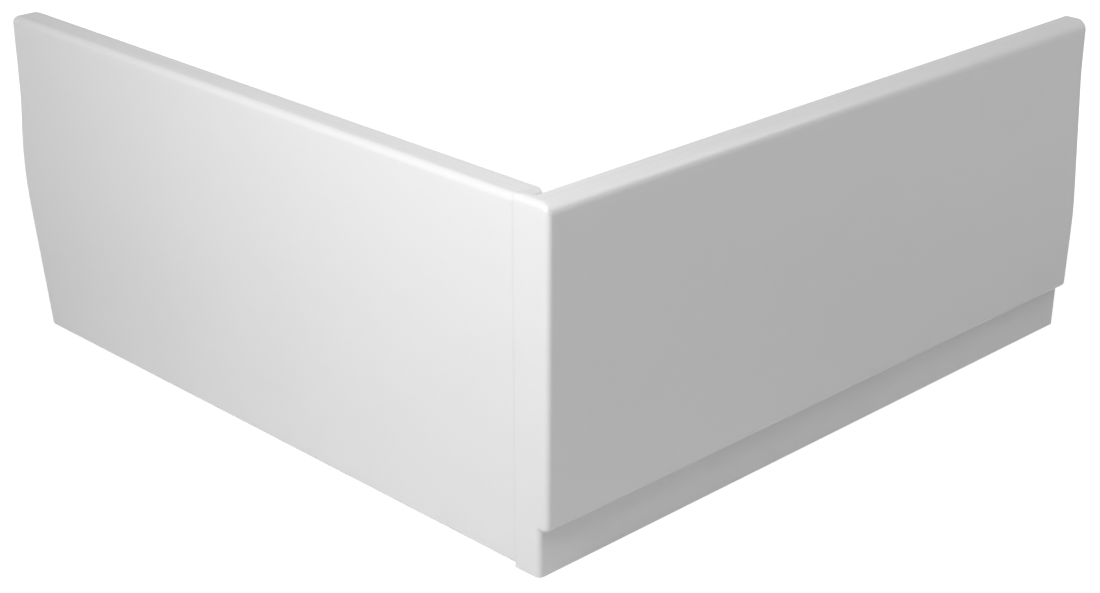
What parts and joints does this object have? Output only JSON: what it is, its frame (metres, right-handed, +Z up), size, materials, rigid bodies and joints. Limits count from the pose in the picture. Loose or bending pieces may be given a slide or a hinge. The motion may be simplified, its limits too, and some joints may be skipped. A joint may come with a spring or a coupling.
{
  "type": "bath panel",
  "caption": "White L-shaped bath panel set: flat front panel with stepped plinth and corner return, end panel lapped behind it, formed sheet open at the back.",
  "frame": {"origin": "middle of the set's bounding box at floor level", "axes": "+Z up; the front panel runs along +X and faces -Y; the end panel runs along +Y and faces -X"},
  "size_m": [1.2301, 1.257, 0.54],
  "materials": {
    "white_sheet": "satin white acrylic sheet"
  },
  "bodies": {
    "root": {"front_panel": "white_sheet", "end_panel": "white_sheet"}
  },
  "joints": []
}
